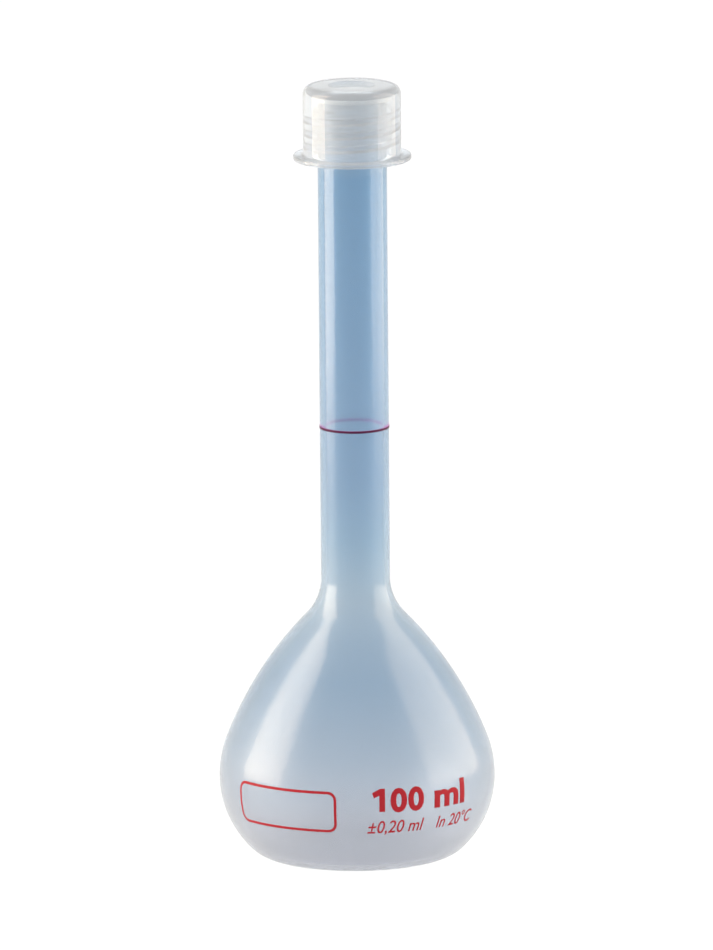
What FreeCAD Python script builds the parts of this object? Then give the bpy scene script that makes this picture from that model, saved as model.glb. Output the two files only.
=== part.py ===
"""Volumetric flask of 100 ml in clear plastic, with a screw cap, at its real size.

The flask stands on the plane z = 0 with its axis on +Z. The pieces are the blown flask with its bulb,
neck and outside thread, the printed ring mark at the filling height, the screw cap with its inside
thread and brim, and the soft sealing disc that lies in the cap and closes the mouth.
All lengths are in millimetres and all angles in degrees.
"""

import FreeCAD
import Part

import math
import os

# Bulb: its outside outline is a row of tangent arcs, from the foot up to the neck
bulb_radius = 30.5
widest_height = 17.7
foot_inset = 11.64
heel_radius = 7.1
side_arc_radius = 23.65
side_arc_angle = 21.2
shoulder_arc_radius = 82.7
neck_fillet_radius = 11.8
bulb_wall = 1.37

# Base: a flat foot ring around a shallow push-up
foot_ring_width = 3.2
push_up_height = 1.8

# Neck and mouth, with the ring mark printed on the outside at the filling height
neck_bore_radius = 6.51
neck_wall = 1.15
neck_foot_to_ring = 34.08
ring_to_mouth = 73.6
mouth_edge_radius = 0.35
ring_mark_width = 0.55
ring_mark_thickness = 0.08

# Thread of the neck and of the cap: two like ridges that run in each other's grooves
thread_pitch = 3.0
thread_depth = 1.15
thread_flank_angle = 25.5
thread_flank_clearance = 0.35
thread_radial_clearance = 0.3
thread_root_overlap = 0.25
cap_thread_above_brim = 1.5
cap_thread_below_mouth = 2.3
neck_thread_below_mouth = 1.7

# Screw cap
cap_wall = 1.75
cap_skirt_depth = 14.6
cap_top_thickness = 1.95
cap_top_edge_radius = 1.9
brim_overhang = 2.2
brim_thickness = 1.15
brim_fillet_radius = 0.6
brim_edge_radius = 0.35
top_dish_radius = 5.3
top_dish_depth = 0.7
top_dish_slope_run = 0.8

# Sealing disc in the cap
seal_thickness = 1.0
seal_clearance = 0.2

# Radii that follow, from the bore outwards
neck_radius = neck_bore_radius + neck_wall
thread_crest_radius = neck_radius + thread_depth
cap_ridge_radius = neck_radius + thread_radial_clearance
cap_bore_radius = thread_crest_radius + thread_radial_clearance
seal_radius = cap_bore_radius - seal_clearance
cap_radius = cap_bore_radius + cap_wall
brim_radius = cap_radius + brim_overhang

# A ridge is as thick as the pitch leaves room for, beside the other ridge and the clearances
thread_flank_slope = math.tan(math.radians(thread_flank_angle))
thread_meeting_depth = thread_depth - thread_radial_clearance
thread_crest_width = thread_pitch / 2 - thread_flank_clearance - thread_flank_slope * thread_meeting_depth

AXIS_BASE = FreeCAD.Vector(0, 0, 0)
AXIS_UP = FreeCAD.Vector(0, 0, 1)


def point(r, z):
    """A point of an outline, in the half plane at +X."""
    return FreeCAD.Vector(r, 0, z)


def line(start, end):
    return Part.LineSegment(start, end).toShape()


def arc(centre, radius, start, end):
    """An arc in the outline's plane, from one angle to another."""
    angles = [math.radians(angle) for angle in (start, (start + end) / 2, end)]
    places = [point(centre[0] + radius * math.cos(a), centre[1] + radius * math.sin(a)) for a in angles]
    return Part.Arc(*places).toShape()


def end_of(edges):
    return edges[-1].valueAt(edges[-1].LastParameter)


def turned(edges):
    """The solid that a closed outline sweeps out in one turn around the axis."""
    return Part.Face(Part.Wire(edges)).revolve(AXIS_BASE, AXIS_UP, 360)


def bulb_outline(inset, neck_outline_radius):
    """Edges from the axis at the base, over the foot and up the bulb to the foot of the neck.

    inset is how far the outline lies inside the outer face, and every arc keeps its centre.
    The lower arc meets the heel and the widest circle smoothly, and so does the neck's fillet
    with the shoulder arc and the neck.
    """
    heel_centre = (bulb_radius - foot_inset, heel_radius)
    heel_drop = widest_height - heel_radius
    lower_arc_radius = (foot_inset**2 + heel_drop**2 - heel_radius**2) / (2 * (foot_inset - heel_radius))
    lower_centre = (bulb_radius - lower_arc_radius, widest_height)
    heel_angle = -math.degrees(math.atan2(heel_drop, heel_centre[0] - lower_centre[0]))

    foot_inner_radius = heel_centre[0] - foot_ring_width
    dome_radius = (foot_inner_radius**2 + push_up_height**2) / (2 * push_up_height)
    dome_centre = (0, push_up_height - dome_radius)
    dome_angle = math.degrees(math.asin((inset - dome_centre[1]) / (dome_radius + inset)))

    side_centre = (bulb_radius - side_arc_radius, widest_height)
    side = math.radians(side_arc_angle)
    shift = side_arc_radius - shoulder_arc_radius
    shoulder_centre = (side_centre[0] + shift * math.cos(side), side_centre[1] + shift * math.sin(side))

    fillet_radius = neck_fillet_radius + inset
    arm = shoulder_arc_radius - inset + fillet_radius
    shoulder_end = math.degrees(math.acos((neck_outline_radius + fillet_radius - shoulder_centre[0]) / arm))
    neck_foot = shoulder_centre[1] + arm * math.sin(math.radians(shoulder_end))
    fillet_centre = (neck_outline_radius + fillet_radius, neck_foot)

    edges = [arc(dome_centre, dome_radius + inset, 90, dome_angle)]
    edges.append(line(end_of(edges), point(heel_centre[0], inset)))
    edges.append(arc(heel_centre, heel_radius - inset, -90, heel_angle))
    edges.append(arc(lower_centre, lower_arc_radius - inset, heel_angle, 0))
    edges.append(arc(side_centre, side_arc_radius - inset, 0, side_arc_angle))
    edges.append(arc(shoulder_centre, shoulder_arc_radius - inset, side_arc_angle, shoulder_end))
    edges.append(arc(fillet_centre, fillet_radius, 180 + shoulder_end, 180))
    return edges


# Heights that follow, from the foot of the neck upwards
ring_mark_height = end_of(bulb_outline(0, neck_radius)).z + neck_foot_to_ring
mouth_height = ring_mark_height + ring_to_mouth
seal_top = mouth_height + seal_thickness
cap_top = seal_top + cap_top_thickness
cap_bottom = seal_top - cap_skirt_depth
cap_thread_start = cap_bottom + cap_thread_above_brim
cap_thread_end = mouth_height - cap_thread_below_mouth
neck_thread_start = cap_thread_start + thread_pitch / 2
neck_thread_end = mouth_height - neck_thread_below_mouth


def thread_ridge(base_radius, crest_radius, start_height, end_height):
    """A right-hand ridge from its wall to its crest, rooted a little way into the wall.

    The heights are those of the ridge's middle line, which starts at +X.
    """
    outwards = math.copysign(1, crest_radius - base_radius)
    root_radius = base_radius - outwards * thread_root_overlap
    half_crest = thread_crest_width / 2
    half_root = half_crest + thread_flank_slope * (thread_depth + thread_root_overlap)
    corners = [
        point(root_radius, start_height - half_root),
        point(crest_radius, start_height - half_crest),
        point(crest_radius, start_height + half_crest),
        point(root_radius, start_height + half_root),
    ]
    helix = Part.makeHelix(thread_pitch, end_height - start_height, base_radius)
    helix.translate(point(0, start_height))
    section = Part.makePolygon(corners + corners[:1])
    return Part.Wire(helix).makePipeShell([section], True, True)


def flask_body():
    """The blown flask: bulb, foot ring, neck and mouth in one wall, with the thread on the neck."""
    outside = bulb_outline(0, neck_radius)
    inside = bulb_outline(bulb_wall, neck_bore_radius)
    edge_radius = min(mouth_edge_radius, neck_wall / 3)
    edge_height = mouth_height - edge_radius
    outside.append(line(end_of(outside), point(neck_radius, edge_height)))
    outside.append(arc((neck_radius - edge_radius, edge_height), edge_radius, 0, 90))
    outside.append(line(end_of(outside), point(neck_bore_radius + edge_radius, mouth_height)))
    outside.append(arc((neck_bore_radius + edge_radius, edge_height), edge_radius, 90, 180))
    outside.append(line(end_of(outside), end_of(inside)))
    base_centre = line(point(0, push_up_height), point(0, push_up_height + bulb_wall))
    wall = turned(outside + inside[::-1] + [base_centre])
    return wall.fuse(thread_ridge(neck_radius, thread_crest_radius, neck_thread_start, neck_thread_end))


def ring_mark():
    """The printed ring at the filling height: a thin band of ink on the neck."""
    low = point(0, ring_mark_height - ring_mark_width / 2)
    band = Part.makeCylinder(neck_radius + ring_mark_thickness, ring_mark_width, low)
    return band.cut(Part.makeCylinder(neck_radius, ring_mark_width, low))


def screw_cap():
    """The moulded cap: skirt, brim and dished top, with its thread inside."""
    shoulder = (cap_radius - cap_top_edge_radius, cap_top - cap_top_edge_radius)
    brim_top = cap_bottom + brim_thickness
    fillet = (cap_radius + brim_fillet_radius, brim_top + brim_fillet_radius)
    edge_radius = min(brim_edge_radius, brim_thickness / 3)
    edge = brim_radius - edge_radius
    dish_floor = cap_top - top_dish_depth
    edges = [line(point(0, dish_floor), point(top_dish_radius - top_dish_slope_run, dish_floor))]
    edges.append(line(end_of(edges), point(top_dish_radius, cap_top)))
    edges.append(line(end_of(edges), point(shoulder[0], cap_top)))
    edges.append(arc(shoulder, cap_top_edge_radius, 90, 0))
    edges.append(line(end_of(edges), point(cap_radius, fillet[1])))
    edges.append(arc(fillet, brim_fillet_radius, 180, 270))
    edges.append(line(end_of(edges), point(edge, brim_top)))
    edges.append(arc((edge, brim_top - edge_radius), edge_radius, 90, 0))
    edges.append(line(end_of(edges), point(brim_radius, cap_bottom + edge_radius)))
    edges.append(arc((edge, cap_bottom + edge_radius), edge_radius, 0, -90))
    edges.append(line(end_of(edges), point(cap_bore_radius, cap_bottom)))
    edges.append(line(end_of(edges), point(cap_bore_radius, seal_top)))
    edges.append(line(end_of(edges), point(0, seal_top)))
    edges.append(line(end_of(edges), point(0, dish_floor)))
    ridge = thread_ridge(cap_bore_radius, cap_ridge_radius, cap_thread_start, cap_thread_end)
    return turned(edges).fuse(ridge)


def sealing_disc():
    """The soft disc that lies loose under the cap's top and closes the mouth."""
    return Part.makeCylinder(seal_radius, seal_thickness, point(0, mouth_height))


def filled_millilitres():
    """The volume inside the flask up to the ring mark."""
    inside = bulb_outline(bulb_wall, neck_bore_radius)
    inside.append(line(end_of(inside), point(neck_bore_radius, ring_mark_height)))
    inside.append(line(end_of(inside), point(0, ring_mark_height)))
    inside.append(line(end_of(inside), point(0, push_up_height + bulb_wall)))
    return turned(inside).Volume / 1000


PIECES = {
    "flask_body": flask_body,
    "ring_mark": ring_mark,
    "screw_cap": screw_cap,
    "sealing_disc": sealing_disc,
}

os.makedirs("parts", exist_ok=True)
for name, make in PIECES.items():
    shape = make()
    shape.exportStep(f"parts/{name}.step")
    print(name, "valid:", shape.isValid(), "solids:", len(shape.Solids), "mm3:", round(shape.Volume, 2))
print("ring mark at", round(ring_mark_height, 3), "mm, mouth at", round(mouth_height, 3), "mm")
print("holds", round(filled_millilitres(), 2), "ml to the ring mark")
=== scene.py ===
"""A 100 ml volumetric flask of clear plastic with a printed ring mark and a milky screw cap.

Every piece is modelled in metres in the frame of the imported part, with the flask's axis on +Z.
"""

import math

import bpy
from mathutils import Matrix, Vector


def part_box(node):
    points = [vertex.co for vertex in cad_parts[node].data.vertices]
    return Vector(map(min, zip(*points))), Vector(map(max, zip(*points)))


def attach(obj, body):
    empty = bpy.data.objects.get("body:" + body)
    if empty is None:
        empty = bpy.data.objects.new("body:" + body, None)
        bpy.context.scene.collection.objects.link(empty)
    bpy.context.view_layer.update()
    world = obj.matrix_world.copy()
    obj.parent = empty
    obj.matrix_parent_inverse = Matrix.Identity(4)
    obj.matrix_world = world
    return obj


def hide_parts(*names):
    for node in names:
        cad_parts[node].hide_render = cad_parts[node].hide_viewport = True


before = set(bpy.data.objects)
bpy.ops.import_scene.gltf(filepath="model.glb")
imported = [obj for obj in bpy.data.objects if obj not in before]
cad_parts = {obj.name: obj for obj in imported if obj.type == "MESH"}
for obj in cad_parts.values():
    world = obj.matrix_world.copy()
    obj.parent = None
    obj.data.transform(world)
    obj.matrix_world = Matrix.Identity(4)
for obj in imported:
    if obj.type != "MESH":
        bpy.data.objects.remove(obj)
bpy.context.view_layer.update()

# Flask. It is blown in one piece from clear polymethylpentene: a pear-shaped bulb on a foot ring, a long
# straight neck and a mouth with an outside thread. The thin wall is glossy and a little hazy. Its blue tint and
# the way the tint changes with height are painted backdrop colour seen through the plastic, bluest in the neck.
flask_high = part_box("flask_body")[1]
bulb_radius = flask_high.x
mouth_height = flask_high.z
widest_height = 0.0177
foot_inset = 0.01164
heel_radius = 0.0071
side_arc_radius = 0.02365
side_arc_angle = 21.2
shoulder_arc_radius = 0.0827
neck_fillet_radius = 0.0118
bulb_wall = 0.00137
foot_ring_width = 0.0032
push_up_height = 0.0018
neck_bore_radius = 0.00651
neck_wall = 0.00115
neck_radius = neck_bore_radius + neck_wall
neck_row_count = 12
mouth_edge_radius = 0.00035
edge_steps = 5
steps_around = 192
seed_size = 0.001
merge_distance = 1e-6

# Painted backdrop colour seen through the wall, each stop at a share of the mouth's height
painted_backdrop_tints = [
    (0.0, (0.68, 0.68, 0.72)),
    (0.05, (0.73, 0.75, 0.795)),
    (0.08, (0.67, 0.705, 0.757)),
    (0.16, (0.555, 0.645, 0.735)),
    (0.25, (0.485, 0.60, 0.71)),
    (0.34, (0.60, 0.695, 0.77)),
    (0.42, (0.495, 0.625, 0.735)),
    (0.5, (0.445, 0.577, 0.71)),
    (0.9, (0.378, 0.54, 0.688)),
    (0.935, (0.58, 0.67, 0.745)),
    (1.0, (0.76, 0.8, 0.83)),
]
flask_depth_colour = (0.3, 0.53, 0.75, 1)
flask_shadow_tint = (0.85, 0.9, 0.94)


def arc_points(centre, radius, start, end, steps):
    """Points of an outline along an arc, from one angle in degrees to another."""
    angles = [math.radians(start + (end - start) * i / steps) for i in range(steps + 1)]
    return [(centre[0] + radius * math.cos(a), centre[1] + radius * math.sin(a)) for a in angles]


def bulb_arcs(inset, neck_outline_radius):
    """The arcs from the axis at the base to the foot of the neck: centre, radius, two angles and steps.

    inset is how far the outline lies inside the outer face, and every arc keeps its centre.
    """
    heel_centre = (bulb_radius - foot_inset, heel_radius)
    heel_drop = widest_height - heel_radius
    lower_radius = (foot_inset**2 + heel_drop**2 - heel_radius**2) / (2 * (foot_inset - heel_radius))
    lower_centre = (bulb_radius - lower_radius, widest_height)
    heel_angle = -math.degrees(math.atan2(heel_drop, heel_centre[0] - lower_centre[0]))
    foot_inner_radius = heel_centre[0] - foot_ring_width
    dome_radius = (foot_inner_radius**2 + push_up_height**2) / (2 * push_up_height)
    dome_centre = (0, push_up_height - dome_radius)
    dome_angle = math.degrees(math.asin((inset - dome_centre[1]) / (dome_radius + inset)))
    side_centre = (bulb_radius - side_arc_radius, widest_height)
    side = math.radians(side_arc_angle)
    shift = side_arc_radius - shoulder_arc_radius
    shoulder_centre = (side_centre[0] + shift * math.cos(side), side_centre[1] + shift * math.sin(side))
    fillet_radius = neck_fillet_radius + inset
    arm = shoulder_arc_radius - inset + fillet_radius
    shoulder_end = math.degrees(math.acos((neck_outline_radius + fillet_radius - shoulder_centre[0]) / arm))
    neck_foot = shoulder_centre[1] + arm * math.sin(math.radians(shoulder_end))
    fillet_centre = (neck_outline_radius + fillet_radius, neck_foot)
    return [
        (dome_centre, dome_radius + inset, 90, dome_angle, 12),
        (heel_centre, heel_radius - inset, -90, heel_angle, 12),
        (lower_centre, lower_radius - inset, heel_angle, 0, 20),
        (side_centre, side_arc_radius - inset, 0, side_arc_angle, 12),
        (shoulder_centre, shoulder_arc_radius - inset, side_arc_angle, shoulder_end, 24),
        (fillet_centre, fillet_radius, 180 + shoulder_end, 180, 16),
    ]


def outline_of(arcs):
    """The arcs' points in one row, each meeting point once."""
    points = []
    for arc in arcs:
        points += [p for p in arc_points(*arc) if not points or math.dist(p, points[-1]) > merge_distance]
    return points


def turned(name, outline, steps):
    """A solid of revolution: one vertex is drawn out along the outline, and the line is spun round."""
    bpy.ops.object.select_all(action="DESELECT")
    bpy.ops.mesh.primitive_plane_add(size=seed_size)
    piece = bpy.context.object
    piece.name = piece.data.name = name
    bpy.ops.object.mode_set(mode="EDIT")
    bpy.ops.mesh.merge(type="CENTER")
    bpy.ops.transform.translate(value=(outline[0][0], 0, outline[0][1]))
    for here, there in zip(outline, outline[1:]):
        move = (there[0] - here[0], 0, there[1] - here[1])
        bpy.ops.mesh.extrude_vertices_move(TRANSFORM_OT_translate={"value": move})
    bpy.ops.mesh.select_all(action="SELECT")
    bpy.ops.mesh.spin(steps=steps, angle=math.tau, center=(0, 0, 0), axis=(0, 0, 1))
    bpy.ops.mesh.select_all(action="SELECT")
    bpy.ops.mesh.remove_doubles(threshold=merge_distance)
    bpy.ops.mesh.normals_make_consistent(inside=False)
    bpy.ops.object.mode_set(mode="OBJECT")
    return piece


# Thread of the neck and of the cap, with the same pitch and section
thread_pitch = 0.003
thread_depth = 0.00115
thread_crest_width = 0.00074
thread_root_width = 0.00184
thread_fade_turns = 0.4
thread_row_height = 0.00015
cap_thread_above_brim = 0.0015
cap_thread_below_mouth = 0.0023
neck_thread_below_mouth = 0.0017
cap_low, cap_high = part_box("screw_cap")
cap_thread_start = cap_low.z + cap_thread_above_brim
cap_thread_end = mouth_height - cap_thread_below_mouth
neck_thread_start = cap_thread_start + thread_pitch / 2
neck_thread_end = mouth_height - neck_thread_below_mouth


def thread_rows(low, high):
    """Heights from low to high, close enough to show the thread's flanks."""
    rows = math.ceil((high - low) / thread_row_height)
    return [low + (high - low) * i / rows for i in range(rows + 1)]


def eased(value):
    """0 to 1 with soft ends."""
    value = min(max(value, 0), 1)
    return value * value * (3 - 2 * value)


def ridge_share(place, start, end):
    """How far the thread's ridge stands out at a place, from 0 to 1. It fades in and out at its ends."""
    turn = math.atan2(place.y, place.x) / math.tau
    nearest = round((place.z - start) / thread_pitch - turn) + turn
    nearest = min(max(nearest, 0), (end - start) / thread_pitch)
    away = abs(place.z - start - nearest * thread_pitch)
    flank = (thread_root_width / 2 - away) / (thread_root_width - thread_crest_width) * 2
    ends = eased(nearest / thread_fade_turns)
    ends *= eased(((end - start) / thread_pitch - nearest) / thread_fade_turns)
    return eased(flank) * ends


outside = outline_of(bulb_arcs(0, neck_radius))
inside = outline_of(bulb_arcs(bulb_wall, neck_bore_radius))
neck_foot_height = outside[-1][1]
thread_zone = (neck_thread_start - thread_root_width, mouth_height - mouth_edge_radius)
neck_row_height = (thread_zone[0] - neck_foot_height) / neck_row_count
neck_rows = [neck_foot_height + neck_row_height * i for i in range(1, neck_row_count)]
outline = outside + [(neck_radius, z) for z in neck_rows + thread_rows(*thread_zone)[:-1]]
outer_edge = (neck_radius - mouth_edge_radius, thread_zone[1])
inner_edge = (neck_bore_radius + mouth_edge_radius, thread_zone[1])
outline += arc_points(outer_edge, mouth_edge_radius, 0, 90, edge_steps)
outline += arc_points(inner_edge, mouth_edge_radius, 90, 180, edge_steps)
outline += [(neck_bore_radius, z) for z in reversed(neck_rows)] + inside[::-1]
flask = turned("flask", outline, steps_around)
for vertex in flask.data.vertices:
    if vertex.co.z > thread_zone[0] and vertex.co.xy.length > neck_radius - merge_distance:
        share = ridge_share(vertex.co, neck_thread_start, neck_thread_end)
        vertex.co.xy *= 1 + share * thread_depth / neck_radius
bpy.ops.object.shade_smooth()


class Look:
    """A socket in a material. Sums on looks add Math nodes, and node() adds a node of any kind."""

    def __init__(self, tree, socket=None):
        self.tree = tree
        self.socket = socket

    def node(self, kind, settings=None, inputs=None, output=0):
        made = self.tree.nodes.new(kind)
        for name, value in (settings or {}).items():
            if name == "stops":
                while len(made.color_ramp.elements) < len(value):
                    made.color_ramp.elements.new(1)
                for element, (position, colour) in zip(made.color_ramp.elements, value):
                    element.position = position
                    element.color = (*colour, 1)
            else:
                setattr(made, name, value)
        for name, value in (inputs or {}).items():
            if isinstance(value, Look):
                self.tree.links.new(value.socket, made.inputs[name])
            else:
                made.inputs[name].default_value = value
        return Look(self.tree, made.outputs[output]) if len(made.outputs) else made

    def maths(self, operation, first, second):
        return self.node("ShaderNodeMath", {"operation": operation}, {0: first, 1: second})

    def __add__(self, other):
        return self.maths("ADD", self, other)

    def __radd__(self, other):
        return self.maths("ADD", other, self)

    def __sub__(self, other):
        return self.maths("SUBTRACT", self, other)

    def __rsub__(self, other):
        return self.maths("SUBTRACT", other, self)

    def __mul__(self, other):
        return self.maths("MULTIPLY", self, other)

    def __rmul__(self, other):
        return self.maths("MULTIPLY", other, self)

    def __truediv__(self, other):
        return self.maths("DIVIDE", self, other)

    def __rtruediv__(self, other):
        return self.maths("DIVIDE", other, self)


def new_look(name):
    """An empty material and the start of its nodes."""
    material = bpy.data.materials.new(name)
    material.use_nodes = True
    material.node_tree.nodes.clear()
    return material, Look(material.node_tree)


def lets_lamps_through(look, surface, tint):
    """The surface, except that light from the lamps goes through it and takes on a tint."""
    lamp_ray = look.node("ShaderNodeLightPath", output="Is Shadow Ray")
    clear = look.node("ShaderNodeBsdfTransparent", inputs={"Color": (*tint, 1)})
    return look.node("ShaderNodeMixShader", inputs={0: lamp_ray, 1: surface, 2: clear})


flask_finish, look = new_look("clear_plastic")
coordinates = look.node("ShaderNodeTexCoord", output="Object")
height = look.node("ShaderNodeSeparateXYZ", inputs={"Vector": coordinates}, output="Z") / mouth_height
# The wall's tint, graded by height, is painted backdrop colour seen through the plastic
tint = look.node("ShaderNodeValToRGB", {"stops": painted_backdrop_tints}, {"Fac": height})
waves = look.node("ShaderNodeTexNoise", inputs={"Vector": coordinates, "Scale": 90, "Detail": 2})
bump = look.node("ShaderNodeBump", inputs={"Strength": 0.006, "Distance": 0.001, "Height": waves})
plastic = look.node(
    "ShaderNodeBsdfPrincipled",
    inputs={
        "Base Color": tint,
        "Roughness": waves * 0.06 + 0.2 - height * 0.1,
        "IOR": 1.46,
        "Transmission Weight": 0.9,
        "Normal": bump,
    },
)
depth_tint = look.node("ShaderNodeVolumeAbsorption", inputs={"Color": flask_depth_colour, "Density": 45})
flask_surface = lets_lamps_through(look, plastic, flask_shadow_tint)
look.node("ShaderNodeOutputMaterial", inputs={"Surface": flask_surface, "Volume": depth_tint})
flask.data.materials.append(flask_finish)
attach(flask, "flask")
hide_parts("flask_body")

# Ring mark. A thin band of dark red ink is printed round the neck at the height where the flask holds 100 ml.
# Its inner side, seen through the plastic with the light behind it, is pink.
ring_low, ring_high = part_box("ring_mark")
ring_outer_radius = ring_high.x
ring_sink = 0.00002
crease_angle = 40
ring_inner_colour = (0.9, 0.16, 0.6)
ring_outer_colour = (0.06, 0.003, 0.036)
ring_outline = [
    (neck_radius - ring_sink, ring_low.z),
    (ring_outer_radius, ring_low.z + ring_sink),
    (ring_outer_radius, ring_high.z - ring_sink),
    (neck_radius - ring_sink, ring_high.z),
    (neck_radius - ring_sink, ring_low.z),
]
ring = turned("ring_print", ring_outline, steps_around)
bpy.ops.object.shade_smooth_by_angle(angle=math.radians(crease_angle))

ring_ink, look = new_look("ring_ink")
ring_coordinates = look.node("ShaderNodeTexCoord", output="Object")
across = look.node("ShaderNodeSeparateXYZ", inputs={"Vector": ring_coordinates}, output="X")
along = look.node("ShaderNodeSeparateXYZ", inputs={"Vector": ring_coordinates}, output="Y")
radius = look.maths("POWER", across * across + along * along, 0.5)
film_share = (radius - neck_radius) / (ring_outer_radius - neck_radius)
ring_colour = look.node(
    "ShaderNodeValToRGB",
    {"stops": [(0.1, ring_inner_colour), (0.5, ring_outer_colour)]},
    {"Fac": film_share},
)
ring_film = look.node(
    "ShaderNodeBsdfPrincipled",
    inputs={"Base Color": ring_colour, "Roughness": 0.45, "Specular IOR Level": 0.2},
)
look.node("ShaderNodeOutputMaterial", inputs={"Surface": ring_film})
ring.data.materials.append(ring_ink)
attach(ring, "flask")
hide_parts("ring_mark")

# Print. The capacity, its tolerance and the temperature it is meant for are screen-printed in red on the
# bulb, beside an empty field to write on. The ink is a thin film that follows the curved wall.
print_film = 0.00003
print_gap = 0.00001
print_cuts = 4
letter_steps = 4
ink_thin = (0.36, 0.01, 0.02)
ink_thick = (0.28, 0.006, 0.014)
red_ink, look = new_look("red_ink")
print_coordinates = look.node("ShaderNodeTexCoord", output="Object")
speckle = look.node("ShaderNodeTexNoise", inputs={"Vector": print_coordinates, "Scale": 4000, "Detail": 3})
red = look.node(
    "ShaderNodeValToRGB",
    {"stops": [(0.3, ink_thick), (0.7, ink_thin)]},
    {"Fac": speckle},
)
red_film = look.node(
    "ShaderNodeBsdfPrincipled",
    inputs={"Base Color": red, "Roughness": speckle * 0.2 + 0.35, "Specular IOR Level": 0.2},
)
look.node("ShaderNodeOutputMaterial", inputs={"Surface": red_film})


def wall_radius(height):
    """Outside radius of the bulb at a height near its widest circle."""
    arcs = bulb_arcs(0, neck_radius)
    centre, radius = (arcs[2] if height < widest_height else arcs[3])[:2]
    return centre[0] + math.sqrt(radius**2 - (height - centre[1]) ** 2)


def printed(drawing, name, turn, height):
    """A flat drawing bent round the bulb as a film of ink, from a turn in degrees to the right of the front."""
    bpy.ops.object.mode_set(mode="EDIT")
    bpy.ops.mesh.select_all(action="SELECT")
    bpy.ops.mesh.subdivide(number_cuts=print_cuts)
    bpy.ops.object.mode_set(mode="OBJECT")
    for vertex in drawing.data.vertices:
        angle = math.radians(turn) + vertex.co.x / bulb_radius
        z = height + vertex.co.y
        reach = wall_radius(z) + print_gap
        vertex.co = (reach * math.sin(angle), -reach * math.cos(angle), z)
    film = drawing.modifiers.new("film", "SOLIDIFY")
    film.thickness = print_film
    film.offset = 1
    bpy.ops.object.modifier_apply(modifier=film.name)
    drawing.name = drawing.data.name = name
    drawing.data.materials.append(red_ink)
    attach(drawing, "flask")


def words(text, start, width, tall, bold=0, slant=0, spacing=1):
    """A line of words as a flat mesh that stands on the X axis, from its start to the right."""
    bpy.ops.object.select_all(action="DESELECT")
    bpy.ops.object.text_add()
    line = bpy.context.object
    line.data.body = text
    line.data.offset = bold
    line.data.shear = slant
    line.data.space_character = spacing
    line.data.resolution_u = letter_steps
    bpy.ops.object.convert(target="MESH")
    line = bpy.context.object
    low = min(vertex.co.x for vertex in line.data.vertices)
    high = max(vertex.co.x for vertex in line.data.vertices)
    top = max(vertex.co.y for vertex in line.data.vertices)
    for vertex in line.data.vertices:
        vertex.co.x = start + (vertex.co.x - low) * width / (high - low)
        vertex.co.y *= tall / top
    return line


def flat_shape(outline, line_width=0):
    """A flat face inside an outline, or only a line of a width along the inside of the outline."""
    bpy.ops.object.select_all(action="DESELECT")
    bpy.ops.mesh.primitive_plane_add(size=seed_size)
    bpy.ops.object.mode_set(mode="EDIT")
    bpy.ops.mesh.merge(type="CENTER")
    bpy.ops.transform.translate(value=(*outline[0], 0))
    for here, there in zip(outline, outline[1:]):
        move = (there[0] - here[0], there[1] - here[1], 0)
        bpy.ops.mesh.extrude_vertices_move(TRANSFORM_OT_translate={"value": move})
    bpy.ops.mesh.select_all(action="SELECT")
    bpy.ops.mesh.edge_face_add()
    if line_width:
        bpy.ops.mesh.inset(thickness=line_width)
        bpy.ops.mesh.delete(type="FACE")
    bpy.ops.mesh.quads_convert_to_tris()
    bpy.ops.object.mode_set(mode="OBJECT")
    return bpy.context.object


# Capacity, in large upright figures
capacity_turn = 6.1
capacity_height = 0.0156
digit_tall = 0.0052
stem_left = 0.0016
stem_right = 0.0029
stem_top_slope = 0.0002
flag_drop = 0.0009
flag_thickness = 0.0012
flag_end_slope = 0.0004
flag_root_drop = 0.0003
noughts_start = 0.0041
noughts_width = 0.008
unit_start = 0.0148
unit_width = 0.009
unit_tall = 0.0054
one_outline = [
    (stem_left, 0),
    (stem_right, 0),
    (stem_right, digit_tall),
    (stem_left + stem_top_slope, digit_tall),
    (0, digit_tall - flag_drop),
    (flag_end_slope, digit_tall - flag_drop - flag_thickness),
    (stem_left, digit_tall - flag_thickness - flag_root_drop),
]
one = flat_shape(one_outline)
noughts = words("00", noughts_start, noughts_width, digit_tall, bold=0.04, spacing=1.1)
unit = words("ml", unit_start, unit_width, unit_tall, bold=0.035)
one.select_set(True)
noughts.select_set(True)
bpy.ops.object.join()
printed(unit, "capacity_print", capacity_turn, capacity_height)

# Tolerance and temperature, in small slanted figures on one line
small_height = 0.0106
small_tall = 0.0029
small_bold = 0.006
small_slant = 0.2
tolerance_turn = 4.1
tolerance_width = 0.0134
temperature_turn = 35.9
temperature_width = 0.0113
tolerance = words("\u00b10,20 ml", 0, tolerance_width, small_tall, small_bold, small_slant)
printed(tolerance, "tolerance_print", tolerance_turn, small_height)
temperature = words("In 20\u00b0C", 0, temperature_width, small_tall, small_bold, small_slant)
printed(temperature, "temperature_print", temperature_turn, small_height)

# Field to write on, a line with round corners
field_turn = -58
field_height = 0.0108
field_width = 0.0262
field_tall = 0.0094
field_corner = 0.002
field_line = 0.0006
field_step = 0.0012
field_corner_steps = 6
field_outline = []
for x, y, start in [
    (field_width - field_corner, field_corner, -90),
    (field_width - field_corner, field_tall - field_corner, 0),
    (field_corner, field_tall - field_corner, 90),
    (field_corner, field_corner, 180),
]:
    for there in arc_points((x, y), field_corner, start, start + 90, field_corner_steps):
        here = field_outline[-1] if field_outline else (field_corner, 0)
        steps = math.ceil(math.dist(here, there) / field_step)
        field_outline += [
            (here[0] + (there[0] - here[0]) * i / steps, here[1] + (there[1] - here[1]) * i / steps)
            for i in range(1, steps + 1)
        ]
field = flat_shape(field_outline, field_line)
printed(field, "field_print", field_turn, field_height)

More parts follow.
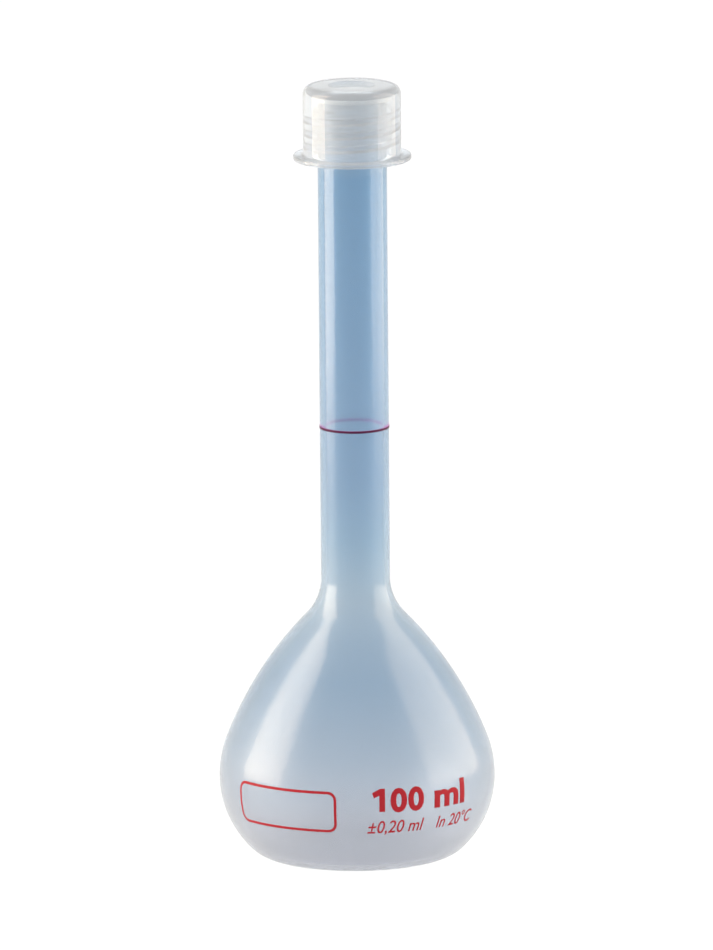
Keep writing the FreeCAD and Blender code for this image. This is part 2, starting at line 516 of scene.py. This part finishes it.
# Sealing disc. A soft disc of pale grey polyethylene foam lies loose under the cap's top, which presses it on
# the mouth. It is punched from sheet, so its edge is a little rounded.
seal_low, seal_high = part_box("sealing_disc")
seal_radius = seal_high.x
seal_edge_radius = 0.0002
seal_edge_steps = 4
foam_dark = (0.52, 0.55, 0.57)
foam_light = (0.60, 0.63, 0.65)
seal_outline = [(0, seal_low.z)]
seal_edge = seal_radius - seal_edge_radius
for z, start in [(seal_low.z + seal_edge_radius, -90), (seal_high.z - seal_edge_radius, 0)]:
    seal_outline += arc_points((seal_edge, z), seal_edge_radius, start, start + 90, seal_edge_steps)
seal_outline += [(0, seal_high.z)]
seal = turned("seal", seal_outline, steps_around // 2)
bpy.ops.object.shade_smooth_by_angle(angle=math.radians(crease_angle))

seal_finish, look = new_look("soft_white")
seal_coordinates = look.node("ShaderNodeTexCoord", output="Object")
cells = look.node("ShaderNodeTexVoronoi", inputs={"Vector": seal_coordinates, "Scale": 2500})
cell_bump = look.node("ShaderNodeBump", inputs={"Strength": 0.2, "Distance": 0.0001, "Height": cells})
foam_colour = look.node("ShaderNodeValToRGB", {"stops": [(0, foam_dark), (1, foam_light)]}, {"Fac": cells})
foam = look.node(
    "ShaderNodeBsdfPrincipled",
    inputs={"Base Color": foam_colour, "Roughness": cells * 0.2 + 0.5, "Normal": cell_bump},
)
look.node("ShaderNodeOutputMaterial", inputs={"Surface": foam})
seal.data.materials.append(seal_finish)
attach(seal, "seal")
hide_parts("sealing_disc")

# Screw cap. It is moulded in natural milky polypropylene, with a smooth skirt, a thin brim to turn it by and
# a shallow dish in its top. The thread inside shows faintly through the wall.
brim_radius = cap_high.x
brim_overhang = 0.0022
cap_radius = brim_radius - brim_overhang
cap_wall = 0.00175
cap_bore_radius = cap_radius - cap_wall
cap_top_edge_radius = 0.0019
cap_top_edge_steps = 8
brim_thickness = 0.00115
brim_fillet_radius = 0.0006
brim_fillet_steps = 6
brim_edge_radius = 0.00035
dish_radius = 0.0053
dish_depth = 0.0007
dish_slope_run = 0.0008
cap_crease_angle = 35
milk_thin = (0.82, 0.885, 0.94)
milk_thick = (0.85, 0.915, 0.97)
cap_depth_colour = (0.2, 0.27, 0.36, 1)
cap_shadow_tint = (0.9, 0.91, 0.92)
brim_top = cap_low.z + brim_thickness
brim_edge = brim_radius - brim_edge_radius
cap_thread_zone = (cap_thread_start - thread_root_width / 2, cap_thread_end + thread_root_width / 2)
cap_outline = [(0, cap_high.z - dish_depth), (dish_radius - dish_slope_run, cap_high.z - dish_depth)]
cap_outline += [(dish_radius, cap_high.z)]
cap_shoulder = (cap_radius - cap_top_edge_radius, cap_high.z - cap_top_edge_radius)
cap_outline += arc_points(cap_shoulder, cap_top_edge_radius, 90, 0, cap_top_edge_steps)
brim_fillet = (cap_radius + brim_fillet_radius, brim_top + brim_fillet_radius)
cap_outline += arc_points(brim_fillet, brim_fillet_radius, 180, 270, brim_fillet_steps)
for z, start in [(brim_top - brim_edge_radius, 90), (cap_low.z + brim_edge_radius, 0)]:
    cap_outline += arc_points((brim_edge, z), brim_edge_radius, start, start - 90, edge_steps)
cap_outline += [(cap_bore_radius, cap_low.z)]
cap_outline += [(cap_bore_radius, z) for z in thread_rows(*cap_thread_zone)]
cap_outline += [(cap_bore_radius, seal_high.z), (0, seal_high.z)]
cap = turned("cap", cap_outline, steps_around)
for vertex in cap.data.vertices:
    on_bore = abs(vertex.co.xy.length - cap_bore_radius) < merge_distance
    if on_bore and cap_thread_zone[0] < vertex.co.z < cap_thread_zone[1]:
        share = ridge_share(vertex.co, cap_thread_start, cap_thread_end)
        vertex.co.xy *= 1 - share * thread_depth / cap_bore_radius
bpy.ops.object.shade_smooth_by_angle(angle=math.radians(cap_crease_angle))

cap_finish, look = new_look("milky_plastic")
cap_coordinates = look.node("ShaderNodeTexCoord", output="Object")
cloud = look.node("ShaderNodeTexNoise", inputs={"Vector": cap_coordinates, "Scale": 220, "Detail": 3})
milk = look.node("ShaderNodeValToRGB", {"stops": [(0.3, milk_thin), (0.7, milk_thick)]}, {"Fac": cloud})
cap_bump = look.node("ShaderNodeBump", inputs={"Strength": 0.03, "Distance": 0.0005, "Height": cloud})
polypropylene = look.node(
    "ShaderNodeBsdfPrincipled",
    inputs={
        "Base Color": milk,
        "Roughness": cloud * 0.03 + 0.04,
        "IOR": 1.38,
        "Specular IOR Level": 0.15,
        "Transmission Weight": 0.77,
        "Normal": cap_bump,
    },
)
milk_depth = look.node("ShaderNodeVolumeAbsorption", inputs={"Color": cap_depth_colour, "Density": 110})
cap_surface = lets_lamps_through(look, polypropylene, cap_shadow_tint)
look.node("ShaderNodeOutputMaterial", inputs={"Surface": cap_surface, "Volume": milk_depth})
cap.data.materials.append(cap_finish)
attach(cap, "cap")
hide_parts("screw_cap")

# Stage. A pale floor on which the flask stands. It reads as white to the camera, in reflections and through the
# plastic, and still takes the flask's soft shadow.
floor_size = 12
floor_colour = (0.9, 0.9, 0.9, 1)
white = (1, 1, 1, 1)
floor_glow = 1.05
floor_glow_share = 0.9
bpy.ops.object.select_all(action="DESELECT")
bpy.ops.mesh.primitive_plane_add(size=floor_size)
floor = bpy.context.object
floor.name = "floor"


def shown(look):
    """1 for a ray from the camera, from a reflection or through plastic, and 0 for a ray that only lights."""
    seen = look.node("ShaderNodeLightPath", output="Is Camera Ray")
    mirrored = look.node("ShaderNodeLightPath", output="Is Glossy Ray")
    through = look.node("ShaderNodeLightPath", output="Is Transmission Ray")
    return seen + mirrored + through


floor_finish, look = new_look("pale_floor")
plain = look.node("ShaderNodeBsdfDiffuse", inputs={"Color": floor_colour})
glow = look.node("ShaderNodeEmission", inputs={"Color": white, "Strength": floor_glow})
glow_share = shown(look) * floor_glow_share
surface = look.node("ShaderNodeMixShader", inputs={0: glow_share, 1: plain, 2: glow})
look.node("ShaderNodeOutputMaterial", inputs={"Surface": surface})
floor.data.materials.append(floor_finish)

# Light. A pale room, with a tall soft lamp on the left and a wider, weaker one on the right. Both stand on the
# floor and face the flask from the sides. For each lamp: its side, how far behind, its width and its watts.
room_level = 0.85
lamp_tall = 0.8
lamp_colour = (1, 0.8, 0.61)
lamps = {"lamp_left": (-0.5, -0.04, 0.38, 5.4), "lamp_right": (0.5, 0.015, 0.57, 4.0)}
world = bpy.data.worlds.new("room")
bpy.context.scene.world = world
world.use_nodes = True
world.node_tree.nodes.clear()
look = Look(world.node_tree)
room_strength = shown(look) * (1 - room_level) + room_level
room = look.node("ShaderNodeBackground", inputs={"Color": white, "Strength": room_strength})
look.node("ShaderNodeOutputWorld", inputs={"Surface": room})
for name, (side, behind, width, watts) in lamps.items():
    data = bpy.data.lights.new(name, "AREA")
    data.shape = "RECTANGLE"
    data.size = width
    data.size_y = lamp_tall
    data.energy = watts
    data.color = lamp_colour
    lamp = bpy.data.objects.new(name, data)
    lamp.location = (side, behind, lamp_tall / 2)
    lamp.rotation_euler = Vector((-side, 0, 0)).to_track_quat("-Z", "Y").to_euler()
    bpy.context.collection.objects.link(lamp)

# Camera. A long lens far away and a little above the flask, turned so that the flask leans slightly left.
# Distances are in metres and angles in degrees, and frame_height is what the picture takes in at the flask.
camera_distance = 4.5
camera_elevation = 11.5
camera_roll = -0.46
frame_height = 0.21
sensor = 36
aim = Vector((0.00038, 0, 0.0853))
elevation = math.radians(camera_elevation)
back = Vector((0, -math.cos(elevation), math.sin(elevation)))
camera_data = bpy.data.cameras.new("camera")
camera_data.sensor_fit = "VERTICAL"
camera_data.sensor_height = sensor
camera_data.sensor_width = sensor
camera_data.lens = sensor * camera_distance / frame_height
camera = bpy.data.objects.new("camera", camera_data)
camera.location = aim + back * camera_distance
turn = (-back).to_track_quat("-Z", "Y").to_matrix().to_4x4()
turn = turn @ Matrix.Rotation(math.radians(camera_roll), 4, "Z")
camera.rotation_euler = turn.to_euler()
bpy.context.collection.objects.link(camera)
bpy.context.scene.camera = camera
bpy.context.scene.view_settings.view_transform = "Standard"
